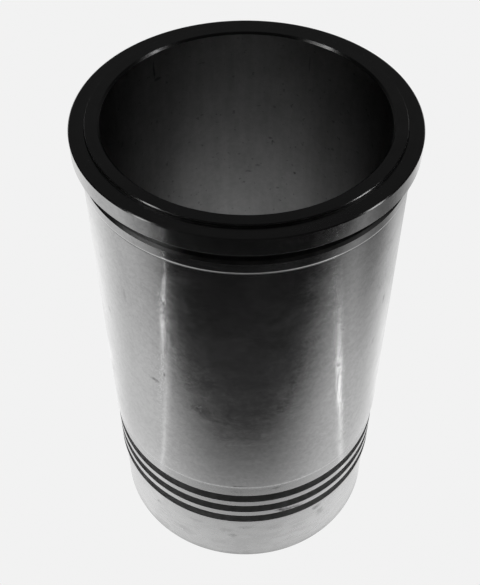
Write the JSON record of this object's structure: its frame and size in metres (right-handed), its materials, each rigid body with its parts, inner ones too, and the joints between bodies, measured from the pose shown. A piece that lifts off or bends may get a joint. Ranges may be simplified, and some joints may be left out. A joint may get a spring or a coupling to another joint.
{
  "type": "cylinder liner",
  "caption": "Flanged wet cylinder liner for a diesel engine: raised fire ring, filler band groove, locating collar, honed straight bore and open seal ring grooves near its lower end.",
  "frame": {"origin": "on the bore axis, in the plane of the lower end face that the liner stands on", "axes": "+Z along the bore axis, from the lower end to the flange and fire ring; X and Y are equal, because every surface is turned"},
  "size_m": [0.1464, 0.1462, 0.246],
  "materials": {
    "machined_iron": "fine turned and ground outside, honed bore, oiled"
  },
  "bodies": {
    "root": {"cylinder_liner": "machined_iron"}
  },
  "joints": []
}
